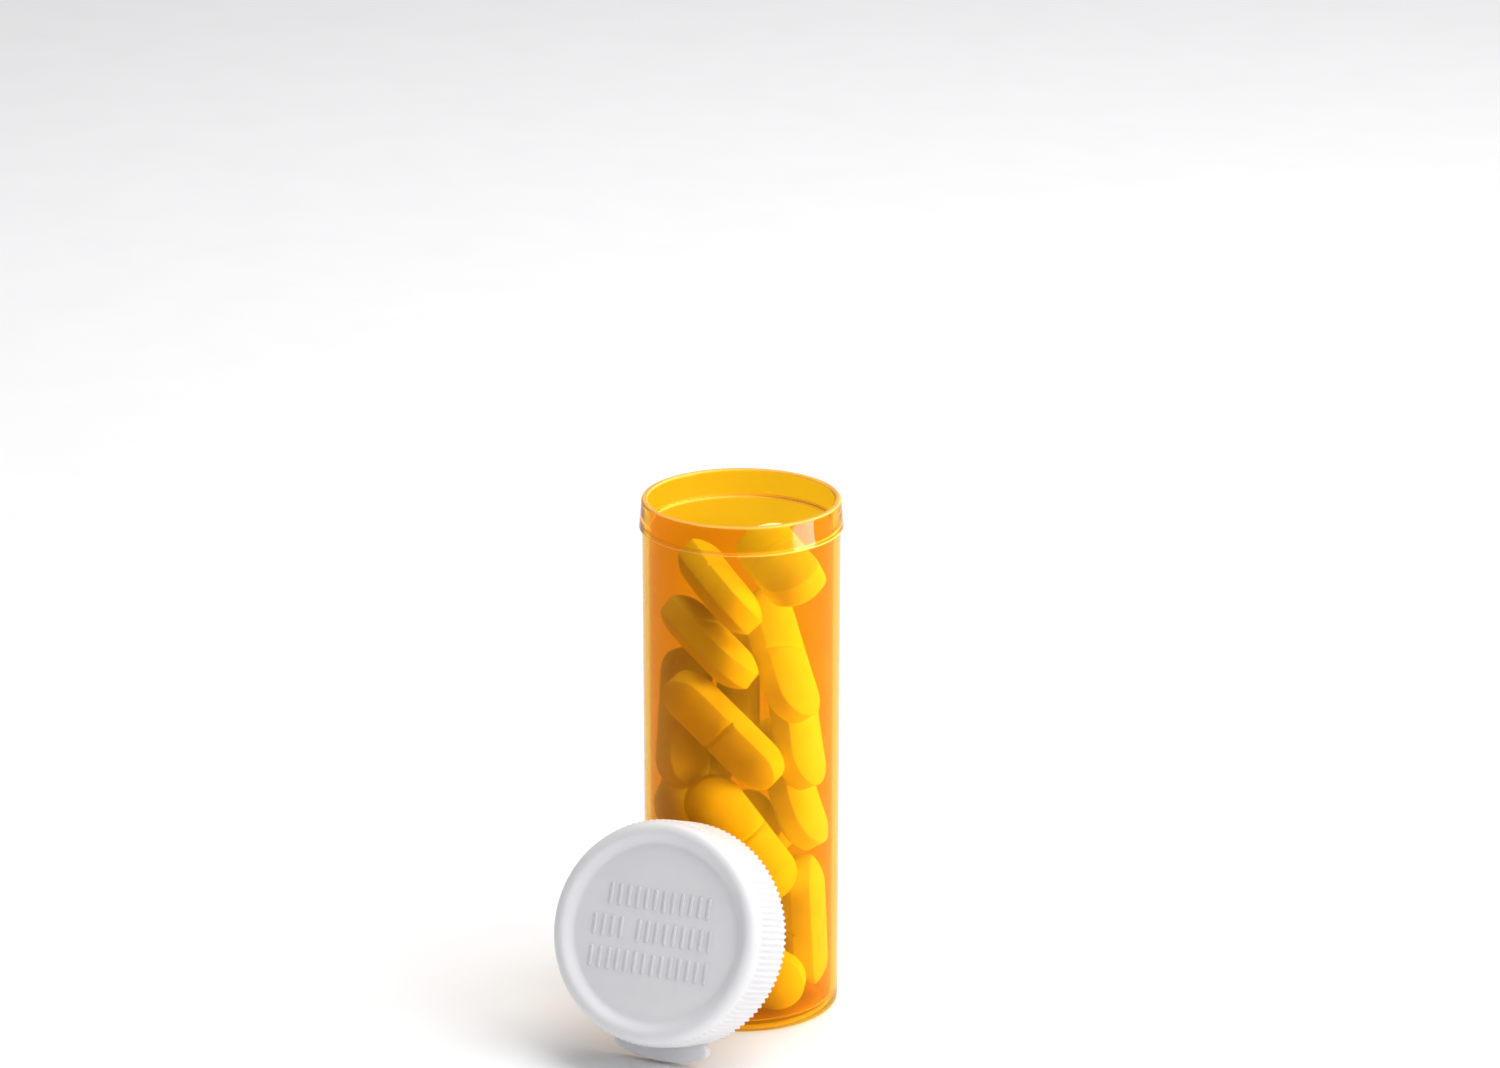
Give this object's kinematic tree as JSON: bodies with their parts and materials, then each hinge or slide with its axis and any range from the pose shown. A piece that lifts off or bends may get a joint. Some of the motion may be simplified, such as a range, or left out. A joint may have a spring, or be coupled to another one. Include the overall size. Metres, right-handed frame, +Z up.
{
  "type": "prescription vial",
  "caption": "Amber snap-cap prescription vial, open and filled with oblong tablets, its ribbed white cap leaning on the wall.",
  "frame": {"origin": "middle of the vial's underside, on the vial's axis", "axes": "+Z up along the vial's axis; the cap leans on the -Y side; +X to the right when the cap is in front"},
  "size_m": [0.0338, 0.0522, 0.0805],
  "materials": {
    "amber_polypropylene": "clear amber injection-moulded polypropylene, glossy",
    "white_polyethylene": "white injection-moulded low-density polyethylene, satin",
    "tablet_powder": "yellow pressed powder, matt"
  },
  "bodies": {
    "vial": {"vial_body": "amber_polypropylene"},
    "cap": {"cap": "white_polyethylene"},
    "tablets": {"tablet_01": "tablet_powder", "tablet_02": "tablet_powder", "tablet_03": "tablet_powder", "tablet_04": "tablet_powder", "tablet_05": "tablet_powder", "tablet_06": "tablet_powder", "tablet_07": "tablet_powder", "tablet_08": "tablet_powder", "tablet_09": "tablet_powder", "tablet_10": "tablet_powder", "tablet_11": "tablet_powder", "tablet_12": "tablet_powder", "tablet_13": "tablet_powder", "tablet_14": "tablet_powder", "tablet_15": "tablet_powder", "tablet_16": "tablet_powder", "tablet_17": "tablet_powder", "tablet_18": "tablet_powder"}
  },
  "joints": [
    {"name": "cap_swing", "type": "hinge", "parent": "vial", "child": "cap", "pos_m": [0, 0.0699, 0.05779], "axis": [-1, 0, 0], "range_deg": [0, 69]},
    {"name": "tablets_shift", "type": "slide", "parent": "vial", "child": "tablets", "axis": [0, 0, 1], "range_m": [0, 0.006]}
  ]
}
